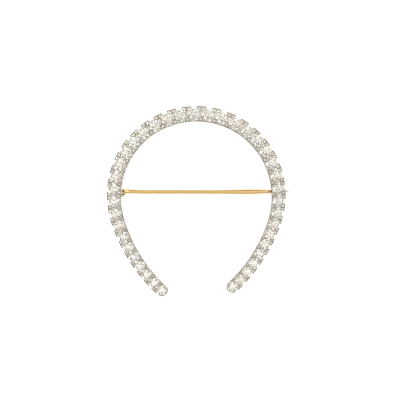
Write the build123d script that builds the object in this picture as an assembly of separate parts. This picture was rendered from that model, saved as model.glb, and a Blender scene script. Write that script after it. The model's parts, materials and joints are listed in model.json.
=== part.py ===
from build123d import *
import math
import os

# A horseshoe brooch, in millimetres.
# It is drawn flat in its own plane first: the middle of the round bow is the origin,
# the bow's top points to +Y, the stones face +Z and the back of the band is at Z = 0.
# At the end all pieces are laid down together as the brooch lies by itself, on its back.

# Sizes of the band
BOW_RADIUS = 16.00          # inner edge of the round bow
BOW_SWEEP = 107.0           # degrees of the bow on each side of the top
LEG_RADIUS = 31.2           # inner edge of the two legs, which close in gently
RIM = 0.30                  # metal between the inner edge and the stones
WALL_INSET = 0.08           # the outer wall stands this far inside the stones' outer edge
EDGE_BEVEL = 0.15           # bevelled inner edge of the band, front and back
RAIL = 0.22                 # from the inner edge to the bright cuts
CUT_DEPTH = 0.14            # bright cuts between the stones, below the band's front
CUT_LEAN = 45.0             # degrees that their walls lean outwards
CULET_COVER = 0.12          # the points of the largest stones end this far above the back

# Sizes of the stones
SIDE_STONES = 19            # stones on each side of the top one
TOP_STONE = 2.58            # diameter of the stone at the top
END_STONE = 1.94            # diameter of the stones at the ends
NECK_SHARE = 0.163          # metal between two stones, as a share of their diameter
ROW_SHIFT = -0.67           # the top stone stands this far to the left of the middle
ROW_DRIFT = 0.30            # half-way down, the stones stand this far to the right of an even row
DRIFT_SPAN = 44.0           # length of the band over which that comes and goes
STONE_TURN = 11.0           # degrees from one stone to the next, so no two lie the same way
SEAT_GAP = 0.03             # between a stone and its seat, all round

# Shape of the round brilliant cut, as shares of the stone's diameter
MAIN_FACETS = 8
TABLE_RADIUS = 0.285
CROWN_HEIGHT = 0.155
GIRDLE_HEIGHT = 0.03
PAVILION_DEPTH = 0.43
STAR_RADIUS = 0.385
LOWER_RADIUS = 0.14
BACK_HOLE_RADIUS = 0.34     # hole behind each stone that lets the light in
CROWN_EASE = 0.035          # height that the star facets need above a plain cone

# Shape of a spread prong, as shares of the diameter of the stones beside it
TAB_WIDTH = 0.79            # outer edge of the spread head
TAB_DEPTH = 0.35            # head, from its outer edge inwards
TAB_SIDE = 0.12             # straight sides of the head, before it narrows to the neck
TAB_CORNER = 0.05           # its cut outer corners
FOOT_WIDTH = 0.26           # foot of the prong, at the back
NECK_WIDTH = 0.28           # bar between two stones, before the seats trim it
GROOVE_WIDTH = 0.10         # fine groove that splits the head in two lobes
GROOVE_INSET = 0.09         # the groove stops this far inside the head's outer edge

# Shape of a bright cut and its grain, as shares of the diameter of the stones beside them
CUT_WIDTH = 0.52            # cut along the rail, where it is widest
CUT_REACH = 0.42            # the cut narrows to a point this far past the rim
GRAIN_PLACE = 0.25          # middle of the grain that holds both stones, past the rim
GRAIN_RADIUS = 0.09

# Other sizes of the prongs, and heights above the band's front
TAB_OVERHANG = 0.33         # the heads stand this far outside the stones
PRONG_RISE = 0.30           # top of the head
PRONG_SLOPE = 0.13          # height of the sloping border round the head's top
PRONG_BORDER = 0.17         # width of that border, along the head's outer edge
PRONG_SIDE = 0.07           # and along its sides
GROOVE_DEPTH = 0.08
GRAIN_RISE = 0.07           # top of the grains in the bright cuts
FOOT_LIFT = 0.15            # the prongs' feet start this far above the back

# Sizes of the pin stem
PIN_SKEW = 0.94             # degrees: the pin is not quite square to the horseshoe
PIN_LINE = 1.08             # the stem's line above the middle of the bow
PIN_DROP = 0.76             # the stem's line behind the back of the band
PIN_STEP = 9                # the pin crosses the band this many stones from the top one
STEM_RADIUS = 0.45
TIP_REACH = 0.88            # the point shows this far past the prongs
EYE_RADIUS = 0.62           # barrel of the stem, which turns on the rivet
EYE_ABOVE = 0.60            # the barrel's reach above the stem's line, across the pin
EYE_BELOW = 1.05            # and below it
ROOT_STARTS = 0.25          # the barrel's root narrows from this far inside the band
ROOT_SHOWS = 1.05           # and ends this far inside it
ROOT_END = 0.85             # its narrow end, as a share of the stem's width there
ROOT_THICK = 0.62           # root, back to front
ROOT_CORNER = 0.07          # its chamfers
ROOT_FLOOR = 0.20           # metal behind the two pockets in the root's front

# Pockets in the root's front: place inside the band, place above the stem's line, radius
POCKETS = (
    (0.46, 0.17, 0.22),
    (0.44, -0.60, 0.17),
)

# Sections of the stem, from the band's inner edge at the hinge to the point.
# Columns: place as a share of the stem's length, then radius and height above the stem's
# line as shares of STEM_RADIUS: the wire is bent up a little at both ends
STEM_SECTIONS = (
    (0.000, 0.94, 0.24),
    (0.028, 0.94, 0.23),
    (0.052, 0.92, 0.21),
    (0.076, 0.92, 0.11),
    (0.117, 0.94, 0.00),
    (0.236, 0.90, 0.00),
    (0.355, 0.90, 0.00),
    (0.474, 0.91, -0.03),
    (0.593, 0.93, -0.03),
    (0.713, 1.09, 0.00),
    (0.772, 1.17, 0.04),
    (0.808, 1.09, 0.09),
    (0.832, 0.98, 0.10),
    (0.855, 0.83, 0.13),
    (0.873, 0.69, 0.15),
    (0.891, 0.56, 0.17),
    (0.930, 0.38, 0.23),
    (0.990, 0.22, 0.36),
    (1.000, 0.12, 0.37),
)

# Sizes of the hinge and the catch, both soldered to the back
RIVET_RADIUS = 0.26
RIVET_GAP = 0.03            # running gap of the barrel on the rivet
FIT_GAP = 0.01              # between the rivet and the ears that hold it
HEAD_RADIUS = 0.42
HEAD_HEIGHT = 0.16          # each domed rivet head
HEAD_DOME = 0.66            # rounded part of the heads, as a share of their height
EAR_THICK = 0.42
EAR_RADIUS = 0.70
SIDE_GAP = 0.05             # between the barrel and each ear
FOOT_INSET = 0.15           # hinge and catch end this far inside the band's edges
CATCH_WALL = 0.36
CATCH_GAP = 0.11            # between the stem and the catch
MOUTH_GAP = 0.06            # the stem's room in the catch's mouth, each side
SOLDER_SINK = 0.05          # hinge and catch are let this far into the band's back

# Values worked out from these sizes
TINY = 0.001
BOW_LENGTH = BOW_RADIUS * math.radians(BOW_SWEEP)
GIRDLE_TOP = CULET_COVER + (PAVILION_DEPTH + GIRDLE_HEIGHT) * TOP_STONE


def stone_size(step):
    """Diameter of the stone that is this many places from the top one."""
    fall = (1 + math.cos(math.pi * step / SIDE_STONES)) / 2
    return END_STONE + (TOP_STONE - END_STONE) * fall


def edge_point(s):
    """Place, direction and radius of the inner edge, s along it from the top."""
    side = 1 if s >= 0 else -1
    if abs(s) <= BOW_LENGTH:
        turn = abs(s) / BOW_RADIUS
        radius = BOW_RADIUS
        middle = (0, 0)
    else:
        bend = math.radians(BOW_SWEEP)
        turn = bend + (abs(s) - BOW_LENGTH) / LEG_RADIUS
        radius = LEG_RADIUS
        offset = BOW_RADIUS - LEG_RADIUS
        middle = (offset * math.sin(bend), offset * math.cos(bend))
    x = side * (middle[0] + radius * math.sin(turn))
    y = middle[1] + radius * math.cos(turn)
    return x, y, side * turn, radius


def band_plane(s, out=0, height=0):
    """Plane on the band: X runs along it to the right, Y outwards, Z to the front."""
    x, y, turn, radius = edge_point(s)
    origin = (x + out * math.sin(turn), y + out * math.cos(turn), height)
    return Plane(origin=origin, x_dir=(math.cos(turn), -math.sin(turn), 0), z_dir=(0, 0, 1))


def band_point(s, out=0):
    """Point in the band's plane, this far out from the inner edge."""
    return band_plane(s, out).origin


def drift(s):
    """How far a stone at this place stands to the right of an even row."""
    return ROW_DRIFT * math.sin(math.pi * s / DRIFT_SPAN) ** 2


def stone_row():
    """Place along the inner edge and diameter of each stone, from left to right."""
    sides = {}
    for side in (-1, 1):
        s = ROW_SHIFT
        sides[side] = []
        for step in range(1, SIDE_STONES + 1):
            mean = (stone_size(step - 1) + stone_size(step)) / 2
            radius = edge_point(s)[3]
            s += side * mean * (1 + NECK_SHARE) / (1 + (RIM + mean / 2) / radius)
            sides[side].append((s, stone_size(step)))
    even = sides[-1][::-1] + [(ROW_SHIFT, stone_size(0))] + sides[1]
    return [(s + drift(s), size) for s, size in even]


def band_blank(row):
    """Flat band with rounded ends, before the seats are cut."""
    first, last = row[0][0], row[-1][0]
    cap = RIM + END_STONE / 2
    inner = [
        ThreePointArc(band_point(first), band_point((first - BOW_LENGTH) / 2), band_point(-BOW_LENGTH)),
        ThreePointArc(band_point(-BOW_LENGTH), band_point(0), band_point(BOW_LENGTH)),
        ThreePointArc(band_point(BOW_LENGTH), band_point((last + BOW_LENGTH) / 2), band_point(last)),
    ]
    outer_points = [band_point(s, RIM + size - WALL_INSET) for s, size in row[::2]]
    outline = list(inner)
    for s, side in ((first, -1), (last, 1)):
        plane = band_plane(s, cap)
        outline.append(
            ThreePointArc(band_point(s), plane.from_local_coords((side * cap, 0, 0)), band_point(s, 2 * cap))
        )
    outline.append(Line(band_point(first, 2 * cap), outer_points[0]))
    outline.append(Spline(*outer_points))
    outline.append(Line(outer_points[-1], band_point(last, 2 * cap)))
    blank = extrude(make_face(outline), GIRDLE_TOP)
    rims = []
    for edge in blank.edges().filter_by(GeomType.CIRCLE):
        if abs(edge.arc_center.Z - edge.center().Z) < TINY and edge.radius >= BOW_RADIUS - TINY:
            rims.append(edge)
    return chamfer(rims, EDGE_BEVEL)


def head_corners(size, tip, border, side, height):
    """Corners of a spread head at this height, drawn in by the two borders."""
    half = TAB_WIDTH * size / 2 - side
    corner = TAB_CORNER * size
    neck = NECK_WIDTH * size / 2
    edge = tip - border
    widest = tip - TAB_SIDE * size
    inner = tip - TAB_DEPTH * size + side
    plan = [
        (-half, widest), (-half, edge - corner), (corner - half, edge), (half - corner, edge),
        (half, edge - corner), (half, widest), (neck, inner), (-neck, inner),
    ]
    return [Vector(x, y, height) for x, y in plan]


def sloping_block(low, high):
    """Block between two outlines of as many corners, with triangles for its sides."""
    outlines = [low, high]
    for i in range(len(low)):
        outlines.append([low[i - 1], low[i], high[i]])
        outlines.append([low[i - 1], high[i], high[i - 1]])
    return Solid(Shell([Face(Wire.make_polygon(points, close=True)) for points in outlines]))


def prong(s, size, out):
    """Spread prong between two stones, standing on the band."""
    tip = out + TAB_OVERHANG
    half = TAB_WIDTH * size / 2
    foot = FOOT_WIDTH * size / 2
    top = GIRDLE_TOP + PRONG_RISE
    border = top - PRONG_SLOPE
    flare = GIRDLE_TOP - TAB_SIDE * size
    side_view = Polyline(
        (-foot, FOOT_LIFT), (foot, FOOT_LIFT), (half, flare), (half, border), (-half, border),
        (-half, flare), close=True,
    )
    head = extrude(Plane.XZ * make_face(side_view), -tip)
    head &= extrude(make_face(Polyline(*head_corners(size, tip, 0, 0, 0), close=True)), top)
    slope = sloping_block(
        head_corners(size, tip, 0, 0, border), head_corners(size, tip, PRONG_BORDER, PRONG_SIDE, top)
    )
    neck_from = RIM + CUT_REACH * size
    neck_to = tip - TAB_SIDE * size
    neck = Pos(0, neck_from, FOOT_LIFT) * Box(
        NECK_WIDTH * size, neck_to - neck_from, GIRDLE_TOP - FOOT_LIFT,
        align=(Align.CENTER, Align.MIN, Align.MIN),
    )
    return band_plane(s) * head.fuse(neck, slope)


def groove(s, size, out):
    """Fine groove along the head's top, from the neck to just inside the outer edge."""
    half = GROOVE_WIDTH * size / 2
    top = GIRDLE_TOP + PRONG_RISE
    section = Polyline((-half, top), (half, top), (0, top - GROOVE_DEPTH), close=True)
    tip = out + TAB_OVERHANG
    start = tip - TAB_DEPTH * size
    end = tip - GROOVE_INSET * size
    return band_plane(s, start) * extrude(Plane.XZ * make_face(section), start - end)


def bright_cut(s, size):
    """Three-sided cut between two stones, beside the rail, with walls that lean outwards."""
    half = CUT_WIDTH * size / 2
    plan = Polyline((-half, RAIL), (half, RAIL), (0, RIM + CUT_REACH * size), close=True)
    cut = extrude(make_face(plan), -CUT_DEPTH, taper=CUT_LEAN)
    return band_plane(s, 0, GIRDLE_TOP) * cut


def grain(s, size):
    """Grain of metal in a bright cut, pushed over the edges of both stones."""
    ball = GRAIN_RADIUS * size
    return band_plane(s, RIM + GRAIN_PLACE * size, GIRDLE_TOP + GRAIN_RISE - ball) * Sphere(ball)


def seat_cutter(size):
    """Space that one stone takes, with its gap, and the hole behind it."""
    girdle = size / 2 + SEAT_GAP
    hole = BACK_HOLE_RADIUS * size
    low = -GIRDLE_HEIGHT * size - SEAT_GAP
    slope = PAVILION_DEPTH * 2
    rise = CROWN_EASE * size
    table = TABLE_RADIUS * size
    crown = CROWN_HEIGHT * size + rise
    profile = Polyline(
        (0, -2 * GIRDLE_TOP), (hole, -2 * GIRDLE_TOP), (hole, low - (girdle - hole) * slope),
        (girdle, low), (girdle, rise), (table, crown), (table, 2 * GIRDLE_TOP), (0, 2 * GIRDLE_TOP),
        close=True,
    )
    return revolve(Plane.XZ * make_face(profile), Axis.Z)


def ring(radius, height, start):
    """Eight corners of one level of the cut."""
    step = 2 * math.pi / MAIN_FACETS
    return [
        Vector(radius * math.cos(start + i * step), radius * math.sin(start + i * step), height)
        for i in range(MAIN_FACETS)
    ]


def brilliant(size):
    """Round brilliant with its girdle's upper edge at height 0."""
    half_step = math.pi / MAIN_FACETS
    inset = math.cos(half_step)
    radius = size / 2
    table_r = TABLE_RADIUS * size
    star_r = STAR_RADIUS * size
    lower_r = LOWER_RADIUS * size
    crown = CROWN_HEIGHT * size
    depth = PAVILION_DEPTH * size
    bottom = -GIRDLE_HEIGHT * size
    table = ring(table_r, crown, 0)
    star = ring(star_r, crown * (radius - star_r * inset) / (radius - table_r), half_step)
    upper = [ring(radius, 0, 0), ring(radius, 0, half_step)]
    under = [ring(radius, bottom, 0), ring(radius, bottom, half_step)]
    lower = ring(lower_r, bottom - depth * (radius - lower_r * inset) / radius, half_step)
    culet = Vector(0, 0, bottom - depth)
    outlines = [table]
    for i in range(MAIN_FACETS):
        after = (i + 1) % MAIN_FACETS
        before = i - 1
        outlines.append([table[i], star[i], table[after]])
        outlines.append([table[i], star[before], upper[0][i], star[i]])
        outlines.append([star[i], upper[0][i], upper[1][i]])
        outlines.append([star[i], upper[1][i], upper[0][after]])
        outlines.append([upper[0][i], under[0][i], under[1][i], upper[1][i]])
        outlines.append([upper[1][i], under[1][i], under[0][after], upper[0][after]])
        outlines.append([under[0][i], lower[i], under[1][i]])
        outlines.append([under[1][i], lower[i], under[0][after]])
        outlines.append([under[0][i], lower[before], culet, lower[i]])
    faces = [Face(Wire.make_polygon(points, close=True)) for points in outlines]
    return Solid(Shell(faces))


def make_band(row):
    """Band with its prongs, bright cuts and grains, drilled and cut for the stones."""
    cuts = []
    raised = []
    grooves = []
    for (s, size), (next_s, next_size) in zip(row, row[1:]):
        mean = (size + next_size) / 2
        between = (s + next_s) / 2
        cuts.append(bright_cut(between, mean))
        raised.append(prong(between, mean, RIM + mean))
        raised.append(grain(between, mean))
        grooves.append(groove(between, mean, RIM + mean))
    seats = [band_plane(s, RIM + size / 2, GIRDLE_TOP) * seat_cutter(size) for s, size in row]
    return band_blank(row).cut(*cuts).fuse(*raised).cut(*grooves, *seats)


def make_stones(row):
    """All stones in their seats, from left to right."""
    unit = brilliant(1)
    stones = []
    for number, (s, size) in enumerate(row):
        turned = Rot(0, 0, number * STONE_TURN) * scale(unit, by=size)
        stones.append(band_plane(s, RIM + size / 2, GIRDLE_TOP) * turned)
    return stones


# Places along the pin. Its own frame has X along the stem and its origin over the bow's middle
PIN_PLACE = Rot(0, 0, PIN_SKEW) * Pos(0, PIN_LINE, -PIN_DROP)
PIN_STONE = stone_size(PIN_STEP)
INNER_X = math.sqrt(BOW_RADIUS ** 2 - PIN_LINE ** 2)
BAND_HALF = RIM + PIN_STONE / 2
HINGE_X = -INNER_X - BAND_HALF
CATCH_X = INNER_X + BAND_HALF
TIP_X = INNER_X + RIM + PIN_STONE + TAB_OVERHANG + TIP_REACH
FOOT_HALF = BAND_HALF - FOOT_INSET


def stem_at(x):
    """Radius of the stem and height of its middle at this place, between the table's rows."""
    share = (x + INNER_X) / (TIP_X + INNER_X)
    for (place, *row), (next_place, *next_row) in zip(STEM_SECTIONS, STEM_SECTIONS[1:]):
        if place <= share <= next_place:
            part = (share - place) / (next_place - place)
            return [STEM_RADIUS * (v + part * (w - v)) for v, w in zip(row, next_row)]


def ear(y_from):
    """One ear of the hinge, with a wide foot on the band and a hole for the rivet."""
    foot = Polyline(
        (-FOOT_HALF, PIN_DROP + SOLDER_SINK), (FOOT_HALF, PIN_DROP + SOLDER_SINK),
        (EAR_RADIUS, 0), (-EAR_RADIUS, 0), close=True,
    )
    outline = make_face(foot) + Circle(EAR_RADIUS) - Circle(RIVET_RADIUS + FIT_GAP)
    return Pos(HINGE_X, y_from, 0) * extrude(Plane.XZ * outline, -EAR_THICK)


def make_hinge():
    """Both ears of the hinge, in the pin's frame."""
    return [ear(EYE_ABOVE + SIDE_GAP), ear(-EYE_BELOW - SIDE_GAP - EAR_THICK)]


def make_catch():
    """Catch: a tube under the band, open to the back so that the stem can swing out."""
    thickest, height = stem_at(CATCH_X - FOOT_HALF)
    bore = thickest + CATCH_GAP
    outside = bore + CATCH_WALL
    mouth = thickest + MOUTH_GAP
    block = Pos(0, (PIN_DROP + SOLDER_SINK) / 2) * Rectangle(2 * outside, PIN_DROP + SOLDER_SINK)
    section = Circle(outside) + block - Circle(bore)
    section -= Pos(0, -outside / 2) * Rectangle(2 * mouth, outside)
    section -= Pos(0, -outside) * Rectangle(2 * mouth, outside)
    return Pos(CATCH_X - FOOT_HALF, height, 0) * extrude(Plane.YZ * section, 2 * FOOT_HALF)


def make_frame(row):
    """Band, hinge ears and catch: one soldered piece."""
    fittings = [PIN_PLACE * piece for piece in make_hinge() + [make_catch()]]
    return make_band(row).fuse(*fittings)


def stem_circle(x, radius, height):
    """Round section of the stem at this place."""
    return Plane(origin=(x, height, 0), x_dir=(0, 1, 0), z_dir=(1, 0, 0)) * Circle(radius)


def make_stem():
    """Pin stem: barrel, flared root, and a round stem that swells and tapers to a point."""
    length = TIP_X + INNER_X
    flare_start = ROOT_STARTS - INNER_X
    flare_end = ROOT_SHOWS - INNER_X
    radius, height = stem_at(flare_end)
    tail = stem_circle((flare_start + flare_end) / 2, ROOT_THICK / 2 - ROOT_CORNER, height)
    sections = [stem_circle(flare_end, radius, height)]
    for place, *row in STEM_SECTIONS:
        x = place * length - INNER_X
        if x > flare_end:
            sections.append(stem_circle(x, *[STEM_RADIUS * v for v in row]))
    end_half = ROOT_END * radius
    root_plan = Polyline(
        (HINGE_X, -EYE_BELOW), (flare_start, -EYE_BELOW), (flare_end, height - end_half),
        (flare_end, height + end_half), (flare_start, EYE_ABOVE), (HINGE_X, EYE_ABOVE), close=True,
    )
    root = extrude(make_face(root_plan), ROOT_THICK / 2, both=True)
    root = chamfer(root.edges().filter_by(Plane.XY).filter_by(Axis.Y, reverse=True), ROOT_CORNER)
    for along, above, pocket in POCKETS:
        place = Pos(along - INNER_X, above, ROOT_FLOOR - ROOT_THICK / 2)
        root -= place * Cylinder(pocket, ROOT_THICK, align=(Align.CENTER, Align.CENTER, Align.MIN))
    turn = Pos(HINGE_X, (EYE_ABOVE - EYE_BELOW) / 2, 0) * Rot(90, 0, 0)
    width = EYE_ABOVE + EYE_BELOW
    barrel = turn * Cylinder(EYE_RADIUS, width)
    bore = turn * Cylinder(RIVET_RADIUS + RIVET_GAP, 2 * width)
    return PIN_PLACE * (root.fuse(barrel, loft([tail, sections[0]]), loft(sections, ruled=True)) - bore)


def make_rivet():
    """Rivet through both ears and the barrel, with a domed head at each end."""
    top = EYE_ABOVE + SIDE_GAP + EAR_THICK + FIT_GAP
    bottom = -EYE_BELOW - SIDE_GAP - EAR_THICK - FIT_GAP
    middle = (top + bottom) / 2
    half = (top - bottom) / 2
    head = Cylinder(HEAD_RADIUS, HEAD_HEIGHT)
    head = fillet(head.edges().group_by(Axis.Z)[-1], HEAD_HEIGHT * HEAD_DOME)
    shank = Cylinder(RIVET_RADIUS, 2 * half + HEAD_HEIGHT)
    outer = Pos(0, 0, half + HEAD_HEIGHT / 2) * head
    inner = Rot(180, 0, 0) * outer
    return PIN_PLACE * Pos(HINGE_X, middle, 0) * Rot(90, 0, 0) * shank.fuse(outer, inner)


def resting_turn():
    """Degrees that the bow's top drops when the brooch lies on its hinge, catch and top edge."""
    depth = PIN_DROP + EAR_RADIUS
    across = EYE_ABOVE + SIDE_GAP + EAR_THICK
    hinge_edge = (PIN_PLACE * Pos(HINGE_X, across, 0)).position.Y
    top_edge = BOW_RADIUS + RIM + TOP_STONE - WALL_INSET
    return math.degrees(math.atan2(depth, top_edge - hinge_edge))


row = stone_row()
pieces = {"frame": make_frame(row), "pin_stem": make_stem(), "hinge_rivet": make_rivet()}
for number, stone in enumerate(make_stones(row), start=1):
    pieces[f"stone_{number:02d}"] = stone

# The brooch is laid on its back, with the middle of its floor space at the origin
lying = {name: Rot(-resting_turn(), 0, 0) * piece for name, piece in pieces.items()}
box = Compound(list(lying.values())).bounding_box()
center = box.center()
shift = Pos(-center.X, -center.Y, -box.min.Z)
os.makedirs("parts", exist_ok=True)
for name, piece in lying.items():
    export_step(shift * piece, f"parts/{name}.step")
print("turn", round(resting_turn(), 4), "shift", [round(v, 4) for v in shift.position])
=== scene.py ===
import json
import math

import bpy
from mathutils import Matrix, Vector

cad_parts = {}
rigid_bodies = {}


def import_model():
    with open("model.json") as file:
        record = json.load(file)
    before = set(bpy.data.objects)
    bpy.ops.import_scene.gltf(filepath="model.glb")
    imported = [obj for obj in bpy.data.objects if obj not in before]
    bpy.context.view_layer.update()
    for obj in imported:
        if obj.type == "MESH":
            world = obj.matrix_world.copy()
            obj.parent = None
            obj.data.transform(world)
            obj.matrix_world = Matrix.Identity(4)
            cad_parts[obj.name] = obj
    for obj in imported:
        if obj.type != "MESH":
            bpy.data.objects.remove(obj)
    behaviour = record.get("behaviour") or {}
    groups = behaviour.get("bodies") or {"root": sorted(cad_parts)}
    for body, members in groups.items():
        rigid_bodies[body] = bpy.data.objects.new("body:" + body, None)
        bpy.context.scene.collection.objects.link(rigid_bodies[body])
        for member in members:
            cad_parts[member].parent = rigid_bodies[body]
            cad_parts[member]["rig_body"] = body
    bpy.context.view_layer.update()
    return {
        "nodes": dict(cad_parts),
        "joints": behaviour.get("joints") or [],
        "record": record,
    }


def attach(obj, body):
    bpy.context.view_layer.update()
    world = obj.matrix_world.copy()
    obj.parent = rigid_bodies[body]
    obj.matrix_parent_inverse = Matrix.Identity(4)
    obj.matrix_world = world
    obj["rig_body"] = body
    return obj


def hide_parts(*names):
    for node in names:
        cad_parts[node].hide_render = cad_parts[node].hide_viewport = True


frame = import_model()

# Horseshoe frame
# The real frame is a flat platinum band with a spread prong between each two stones, cast, filed
# and then cut bright along its rail. The hinge ears and the catch are yellow gold, soldered to
# its back. All of it is polished, with painted shade greying its slopes and its recesses.
MM = 0.001
PIN_LINE = 1.08 * MM              # the stem's line above the middle of the bow
PIN_DROP = 0.76 * MM              # and behind the back of the band
BAND_FRONT = 1.307 * MM           # front of the band, from its back
BOW_RADIUS = 16.0 * MM            # inner edge of the round bow
BOW_SWEEP = 107                   # degrees of the bow on each side of the top
LEG_RADIUS = 31.2 * MM            # inner edge of the two legs
EDGE_BEVEL = 0.15 * MM            # bevelled inner edge
JOIN_WITHIN = 0.0005 * MM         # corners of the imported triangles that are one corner
ROUND_BELOW = 32                  # degrees between faces that belong to one round surface
SLOPE_LEAST = 0.6                 # sloping faces lean back by at most 53 degrees
SLOPE_MOST = 0.86                 # and by at least 31, as cosines
PLATINUM_DARK = "#D2CEC6"
PLATINUM_LIGHT = "#E9E6DE"
# grey of the painted shade, on the slopes and in the recesses
PLATINUM_PAINTED_SHADE = "#8F897D"
FITTINGS_GOLD = "#F0CB8A"
SLOPE_UNSHADED = 0.25                # share of unshaded metal left on the marked slopes, the rest is painted shade
PATCH_SIZE = 1.1111 * MM          # patches that are polished a little more or less
PLATINUM_SHADE_REACH = 0.35 * MM          # painted shade greys the metal where other metal stands closer than this
SCUFF_SIZE = 0.2 * MM             # real scuffs are finer, and are drawn as coarse as shows
SCUFF_DEPTH = 0.01 * MM
FILED_SIZE = 0.41667 * MM         # waves left by the file, deeper than real ones so they show
FILED_DEPTH = 0.12 * MM
WORN_EDGE = 0.03 * MM             # radius of the worn edges

stem_mount = frame["record"]["mounts"][0]
stem_middle = Vector(stem_mount["pos_m"])
across = Vector(stem_mount["axis"]).normalized()
up_the_bow = Vector(frame["joints"][0]["axis"]).normalized()
to_the_front = across.cross(up_the_bow).normalized()
bow_middle = stem_middle - up_the_bow * PIN_LINE + to_the_front * PIN_DROP


def linear(hex_colour):
    """Linear colour of an sRGB hex value."""
    channels = [int(hex_colour[i:i + 2], 16) / 255 for i in (1, 3, 5)]
    return [c / 12.92 if c <= 0.04045 else ((c + 0.055) / 1.055) ** 2.4 for c in channels] + [1.0]


def add_node(tree, kind, settings=(), links=()):
    """A new node with its settings, and its inputs linked or set."""
    node = tree.nodes.new(kind)
    for name, value in settings:
        setattr(node, name, value)
    for socket, source in links:
        if isinstance(source, bpy.types.NodeSocket):
            tree.links.new(source, node.inputs[socket])
        else:
            node.inputs[socket].default_value = source
    return node


def new_material(name):
    """Empty node material, its node tree and its shader."""
    material = bpy.data.materials.new(name)
    material.use_nodes = True
    return material, material.node_tree, material.node_tree.nodes["Principled BSDF"]


def smooth_copy(name):
    """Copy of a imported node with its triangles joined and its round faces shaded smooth."""
    node = frame["nodes"][name]
    piece = bpy.data.objects.new(name + "_polished", node.data.copy())
    bpy.context.scene.collection.objects.link(piece)
    bpy.ops.object.select_all(action="DESELECT")
    piece.select_set(True)
    bpy.context.view_layer.objects.active = piece
    if piece.data.has_custom_normals:
        bpy.ops.mesh.customdata_custom_splitnormals_clear()
    bpy.ops.object.mode_set(mode="EDIT")
    bpy.ops.mesh.select_all(action="SELECT")
    bpy.ops.mesh.remove_doubles(threshold=JOIN_WITHIN)
    bpy.ops.object.mode_set(mode="OBJECT")
    bpy.ops.object.shade_smooth_by_angle(angle=math.radians(ROUND_BELOW))
    piece.data.materials.clear()
    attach(piece, node["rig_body"])
    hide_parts(name)
    return piece


def place_on_band(point):
    """Place of a point to the right of the bow's middle, above it and in front of the band's back."""
    offset = point - bow_middle
    return offset.dot(across), offset.dot(up_the_bow), offset.dot(to_the_front)


def past_inner_edge(x, y):
    """How far a point of the band lies outside its inner edge."""
    bend = math.radians(BOW_SWEEP)
    if math.atan2(abs(x), y) < bend:
        return math.hypot(x, y) - BOW_RADIUS
    offset = BOW_RADIUS - LEG_RADIUS
    return math.hypot(abs(x) - offset * math.sin(bend), y - offset * math.cos(bend)) - LEG_RADIUS


def mark_shaded_slopes(piece):
    """Mark the sloping faces of the prongs' heads and of the inner edge, for painted shade."""
    painted_slope_shade = piece.data.attributes.new("painted_slope_shade", "FLOAT", "FACE")
    for face in piece.data.polygons:
        x, y, height = place_on_band(face.center)
        slopes = SLOPE_LEAST < face.normal.dot(to_the_front) < SLOPE_MOST
        on_edge = past_inner_edge(x, y) < EDGE_BEVEL
        # the marked slopes are greyed by painted shade in the platinum
        painted_slope_shade.data[face.index].value = float(slopes and (height > BAND_FRONT or on_edge))


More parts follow.
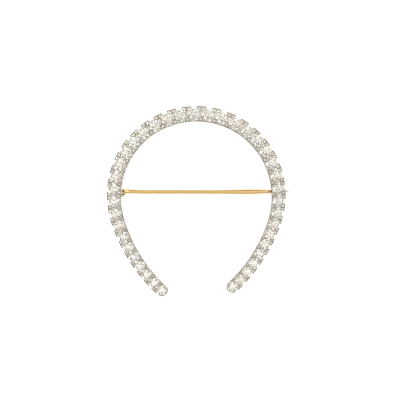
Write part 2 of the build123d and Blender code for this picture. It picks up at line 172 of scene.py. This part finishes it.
def platinum_and_gold():
    """Polished platinum in front of the band's back, yellow gold behind it.

    The platinum is a near white that shifts in soft patches, turned grey by painted shade on its
    slopes and in its recesses. Its filed waves and fine scuffs break up what it mirrors.
    """
    material, tree, shader = new_material("polished_platinum_with_gold_fittings")
    shader.inputs["Metallic"].default_value = 1.0
    place = add_node(tree, "ShaderNodeTexCoord").outputs["Object"]
    depth = add_node(tree, "ShaderNodeVectorMath", [("operation", "DOT_PRODUCT")],
                     [(0, place), (1, to_the_front)])
    back = bow_middle.dot(to_the_front) - 0.01 * MM
    is_band = add_node(tree, "ShaderNodeMath", [("operation", "GREATER_THAN")],
                       [(0, depth.outputs["Value"]), (1, back)])
    patches = add_node(tree, "ShaderNodeTexNoise", [],
                       [("Vector", place), ("Scale", 1 / PATCH_SIZE), ("Detail", 3.0)])
    polish = add_node(tree, "ShaderNodeMapRange", [],
                      [("Value", patches.outputs["Fac"]), ("From Min", 0.35), ("From Max", 0.65)])
    platinum = add_node(tree, "ShaderNodeMix", [("data_type", "RGBA")],
                        [(0, polish.outputs[0]), (6, linear(PLATINUM_DARK)), (7, linear(PLATINUM_LIGHT))])
    # painted shade: ambient occlusion greys the platinum where other metal stands close
    recess = add_node(tree, "ShaderNodeAmbientOcclusion", [("samples", 8), ("only_local", True)],
                      [("Distance", PLATINUM_SHADE_REACH)])
    open_share = add_node(tree, "ShaderNodeMapRange", [],
                          [("Value", recess.outputs["AO"]), ("From Min", 0.25), ("From Max", 0.85)])
    # painted shade on the marked sloping faces
    painted_slope_shade = add_node(tree, "ShaderNodeAttribute", [("attribute_name", "painted_slope_shade")])
    unshaded_share = add_node(tree, "ShaderNodeMapRange", [],
                           [("Value", painted_slope_shade.outputs["Fac"]), ("To Min", open_share.outputs[0]),
                            ("To Max", SLOPE_UNSHADED)])
    # the platinum mixed with its painted shade
    band = add_node(tree, "ShaderNodeMix", [("data_type", "RGBA")],
                    [(0, unshaded_share.outputs[0]), (6, linear(PLATINUM_PAINTED_SHADE)), (7, platinum.outputs[2])])
    metal = add_node(tree, "ShaderNodeMix", [("data_type", "RGBA")],
                     [(0, is_band.outputs[0]), (6, linear(FITTINGS_GOLD)), (7, band.outputs[2])])
    tree.links.new(metal.outputs[2], shader.inputs["Base Color"])
    scuffs = add_node(tree, "ShaderNodeTexNoise", [],
                      [("Vector", place), ("Scale", 1 / SCUFF_SIZE), ("Detail", 4.0)])
    rough = add_node(tree, "ShaderNodeMapRange", [],
                     [("Value", scuffs.outputs["Fac"]), ("To Min", 0.12), ("To Max", 0.34)])
    tree.links.new(rough.outputs[0], shader.inputs["Roughness"])
    edge = add_node(tree, "ShaderNodeBevel", [("samples", 6)], [("Radius", WORN_EDGE)])
    filed = add_node(tree, "ShaderNodeTexNoise", [],
                     [("Vector", place), ("Scale", 1 / FILED_SIZE), ("Detail", 1.0)])
    waves = add_node(tree, "ShaderNodeBump", [],
                     [("Strength", 1.0), ("Distance", FILED_DEPTH), ("Height", filed.outputs["Fac"]),
                      ("Normal", edge.outputs[0])])
    bump = add_node(tree, "ShaderNodeBump", [],
                    [("Strength", 0.25), ("Distance", SCUFF_DEPTH), ("Height", scuffs.outputs["Fac"]),
                     ("Normal", waves.outputs[0])])
    tree.links.new(bump.outputs[0], shader.inputs["Normal"])
    return material


horseshoe = smooth_copy("frame")
mark_shaded_slopes(horseshoe)
horseshoe.data.materials.append(platinum_and_gold())

# Diamonds
# The real stones are 39 round brilliants in a graduated row, each with a table, a crown of
# flat facets and a pointed back, cut and polished to a mirror finish. Prongs and grains hold
# them in their seats.
DIAMOND_IOR = 2.417
GRADE_STEP = 3                    # from one stone to the next, so that neighbours differ
# name of the grade, colour
STONE_GRADES = [
    ("diamond_near_colourless", "#FFFDF6"),
    ("diamond_faint_yellow", "#FEFAF0"),
    ("diamond_colourless", "#FDFDFB"),
    ("diamond_faint_brown", "#FFFBF6"),
    ("diamond_faint_straw", "#FDFBF4"),
]


def diamond(name, colour):
    """Clear polished diamond of one grade, which bends light into small bright and dark patches."""
    material, _, shader = new_material(name)
    shader.inputs["Base Color"].default_value = linear(colour)
    shader.inputs["Roughness"].default_value = 0.0
    shader.inputs["IOR"].default_value = DIAMOND_IOR
    shader.inputs["Transmission Weight"].default_value = 1.0
    return material


diamonds = [diamond(name, colour) for name, colour in STONE_GRADES]
stone_names = sorted(name for name in frame["nodes"] if name.startswith("stone_"))
for number, name in enumerate(stone_names):
    stone = frame["nodes"][name]
    stone.data.materials.clear()
    stone.data.materials.append(diamonds[number * GRADE_STEP % len(diamonds)])

# Pin stem
# The real stem is drawn yellow gold wire, swollen before the catch and filed to a point. Its
# flared root is soldered to a barrel that turns on the hinge's rivet. Painted shadow darkens it at
# the catch's mouth and painted shade in its recesses, and cloth has worn its tip.
ROOT_SEAM = 15.97 * MM            # solder seam, to the left of the stem's middle
CATCH_MOUTH = 16.1 * MM           # mouth of the catch, to the right of it
STEM_TIP = 19.8 * MM              # point of the stem, to the right of it
GOLD_COLOUR = "#F8D291"
SOLDER_COLOUR = "#FBE9D6"
# painted shadow of the band where the stem enters the catch
CATCH_SHADOW_COLOUR = "#7A4E14"
WORN_COLOUR = "#BBAEA9"
# painted shade in the gold's recesses and under the band
GOLD_SHADE_COLOUR = "#2E1C08"
GOLD_SHADE_REACH = 0.6 * MM            # painted shade darkens the gold where metal stands closer than this
LINE_SIZE = 0.16667 * MM          # real drawing lines are finer, and are drawn as coarse as shows
LINE_DEPTH = 0.01 * MM
LINE_STRETCH = 0.08               # width of a drawing line, as a share of its length
GOLD_SMOOTH = 0.05
GOLD_ROUGH = 0.2


def gold():
    """Polished yellow gold wire with a deep mirror shine, broken by lines from its drawing."""
    material, tree, shader = new_material("polished_yellow_gold")
    shader.inputs["Metallic"].default_value = 1.0
    place = add_node(tree, "ShaderNodeTexCoord").outputs["Object"]
    along = add_node(tree, "ShaderNodeVectorMath", [("operation", "DOT_PRODUCT")],
                     [(0, place), (1, across)])
    past_seam = add_node(tree, "ShaderNodeMath", [("operation", "SUBTRACT")],
                         [(0, along.outputs["Value"]), (1, stem_middle.dot(across) - ROOT_SEAM)])
    from_seam = add_node(tree, "ShaderNodeMath", [("operation", "ABSOLUTE")], [(0, past_seam.outputs[0])])
    from_catch = add_node(tree, "ShaderNodeVectorMath", [("operation", "DISTANCE")],
                          [(0, place), (1, stem_middle + across * CATCH_MOUTH)])
    from_tip = add_node(tree, "ShaderNodeVectorMath", [("operation", "DISTANCE")],
                        [(0, place), (1, stem_middle + across * STEM_TIP)])
    # ambient occlusion for the painted shade in the gold's recesses
    recess = add_node(tree, "ShaderNodeAmbientOcclusion", [("samples", 8)], [("Distance", GOLD_SHADE_REACH)])
    # what each mark of wear and painted shade depends on, full up to, gone from, share where full, colour
    wear_and_painted_shade = [
        (from_seam.outputs[0], 0.25 * MM, 0.45 * MM, 0.85, SOLDER_COLOUR),
        # painted shadow of the band at the catch's mouth
        (from_catch.outputs["Value"], 0.35 * MM, 1.2 * MM, 0.9, CATCH_SHADOW_COLOUR),
        (from_tip.outputs["Value"], 0.8 * MM, 1.8 * MM, 0.85, WORN_COLOUR),
        # painted shade in recesses and under the band
        (recess.outputs["AO"], 0.35, 0.75, 1.0, GOLD_SHADE_COLOUR),
    ]
    colour = linear(GOLD_COLOUR)
    for measure, full_up_to, gone_from, full_share, wear_and_shade_colour in wear_and_painted_shade:
        share = add_node(tree, "ShaderNodeMapRange", [],
                         [("Value", measure), ("From Min", full_up_to), ("From Max", gone_from),
                          ("To Min", full_share), ("To Max", 0.0)])
        mixed = add_node(tree, "ShaderNodeMix", [("data_type", "RGBA")],
                         [(0, share.outputs[0]), (6, colour), (7, linear(wear_and_shade_colour))])
        colour = mixed.outputs[2]
    tree.links.new(colour, shader.inputs["Base Color"])
    drawn = add_node(tree, "ShaderNodeMapping", [],
                     [("Vector", place), ("Scale", (LINE_STRETCH, 1.0, 1.0))])
    lines = add_node(tree, "ShaderNodeTexNoise", [],
                     [("Vector", drawn.outputs[0]), ("Scale", 1 / LINE_SIZE), ("Detail", 4.0)])
    rough = add_node(tree, "ShaderNodeMapRange", [],
                     [("Value", lines.outputs["Fac"]), ("To Min", GOLD_SMOOTH), ("To Max", GOLD_ROUGH)])
    tree.links.new(rough.outputs[0], shader.inputs["Roughness"])
    bump = add_node(tree, "ShaderNodeBump", [],
                    [("Strength", 0.2), ("Distance", LINE_DEPTH), ("Height", lines.outputs["Fac"])])
    tree.links.new(bump.outputs[0], shader.inputs["Normal"])
    return material


yellow_gold = gold()
stem = smooth_copy("pin_stem")
stem.data.materials.append(yellow_gold)

# Hinge rivet
# The real rivet is a short yellow gold wire through the ears and the barrel, hammered to a domed
# head at each end. It shares the stem's gold.
rivet = smooth_copy("hinge_rivet")
rivet.data.materials.append(yellow_gold)

# Floor
# A plain white table top of opal acrylic, lit softly from below, and so large that its edge is
# out of every view.
FLOOR_SIZE = 1200 * MM
FLOOR_COLOUR = "#F4F4F4"
FLOOR_GLOW = 0.5
bpy.ops.object.select_all(action="DESELECT")
bpy.ops.mesh.primitive_plane_add(size=FLOOR_SIZE, location=(0, 0, 0))
floor = bpy.context.object
floor.name = "floor"
opal_acrylic, _, shader = new_material("opal_acrylic_light_table")
shader.inputs["Base Color"].default_value = linear(FLOOR_COLOUR)
shader.inputs["Roughness"].default_value = 0.9
shader.inputs["Emission Color"].default_value = (1, 1, 1, 1)
shader.inputs["Emission Strength"].default_value = FLOOR_GLOW
floor.data.materials.append(opal_acrylic)

# Light
# A white cloth tent stands all round, bright above and dim at its sides, a little darker straight
# above, with soft folds. Two soft boxes that point at the brooch add brighter highlights.
TENT_COLOUR = "#FFFCF5"
# height of the direction, from -1 straight down to 1 straight up, and brightness
TENT_RISE = [
    (-0.05, 0.35),
    (0.0, 0.08),
    (0.4, 0.08),
    (0.72, 0.98),
    (0.975, 0.98),
    (0.985, 0.88),
]
FOLDS = 8.5                       # folds to one unit of direction
FOLD_DARK = 0.35
FOLD_LIGHT = 1.6
# name, place, width, power
SOFT_BOXES = [
    ("key_soft_box", (-0.25, 0.25, 0.45), 0.25, 0.5),
    ("fill_soft_box", (0.35, -0.1, 0.35), 0.20, 0.3),
]
world = bpy.data.worlds.new("white_tent")
bpy.context.scene.world = world
world.use_nodes = True
tree = world.node_tree
background = tree.nodes["Background"]
background.inputs["Color"].default_value = linear(TENT_COLOUR)
direction = add_node(tree, "ShaderNodeTexCoord").outputs["Generated"]
parts = add_node(tree, "ShaderNodeSeparateXYZ", [], [(0, direction)])
rise_share = add_node(tree, "ShaderNodeMapRange", [],
                      [("Value", parts.outputs["Z"]), ("From Min", -1.0), ("From Max", 1.0)])
tent = add_node(tree, "ShaderNodeValToRGB", [], [("Fac", rise_share.outputs[0])])
tent.color_ramp.interpolation = "EASE"
while len(tent.color_ramp.elements) < len(TENT_RISE):
    tent.color_ramp.elements.new(0.5)
for element, (rise, brightness) in zip(tent.color_ramp.elements, TENT_RISE):
    element.position = (rise + 1) / 2
    element.color = (brightness, brightness, brightness, 1.0)
cloth = add_node(tree, "ShaderNodeTexNoise", [], [("Vector", direction), ("Scale", FOLDS), ("Detail", 1.0)])
folds = add_node(tree, "ShaderNodeMapRange", [],
                 [("Value", cloth.outputs["Fac"]), ("From Min", 0.35), ("From Max", 0.65),
                  ("To Min", FOLD_DARK), ("To Max", FOLD_LIGHT)])
glow = add_node(tree, "ShaderNodeMath", [("operation", "MULTIPLY")],
                [(0, tent.outputs["Color"]), (1, folds.outputs[0])])
tree.links.new(glow.outputs[0], background.inputs["Strength"])

for name, place, width, power in SOFT_BOXES:
    soft_box = bpy.data.lights.new(name, "AREA")
    soft_box.shape = "SQUARE"
    soft_box.size = width
    soft_box.energy = power
    light = bpy.data.objects.new(name, soft_box)
    bpy.context.scene.collection.objects.link(light)
    light.location = place
    light.rotation_euler = (-Vector(place)).to_track_quat("-Z", "Y").to_euler()

# Camera
# It looks straight at the stones' side of the horseshoe, with the pin level in the picture. The
# bow's middle stands a little to the left of the picture's middle, and above it.
CAMERA_DISTANCE = 400 * MM
PICTURE_WIDTH = 84.95 * MM        # width of the picture, at the brooch
BOW_LEFT = 0.796 * MM
BOW_ABOVE = 0.649 * MM
SENSOR_WIDTH = 36.0               # in millimetres, as the lens is
NEAREST_VIEW = 10 * MM
target = bow_middle + across * BOW_LEFT - up_the_bow * BOW_ABOVE
camera_data = bpy.data.cameras.new("camera")
camera_data.sensor_width = SENSOR_WIDTH
camera_data.lens = SENSOR_WIDTH * CAMERA_DISTANCE / PICTURE_WIDTH
camera_data.clip_start = NEAREST_VIEW
camera = bpy.data.objects.new("camera", camera_data)
bpy.context.scene.collection.objects.link(camera)
facing = Matrix((across, up_the_bow, to_the_front)).transposed().to_4x4()
camera.matrix_world = Matrix.Translation(target + to_the_front * CAMERA_DISTANCE) @ facing
bpy.context.scene.camera = camera
bpy.context.scene.view_settings.view_transform = "Standard"
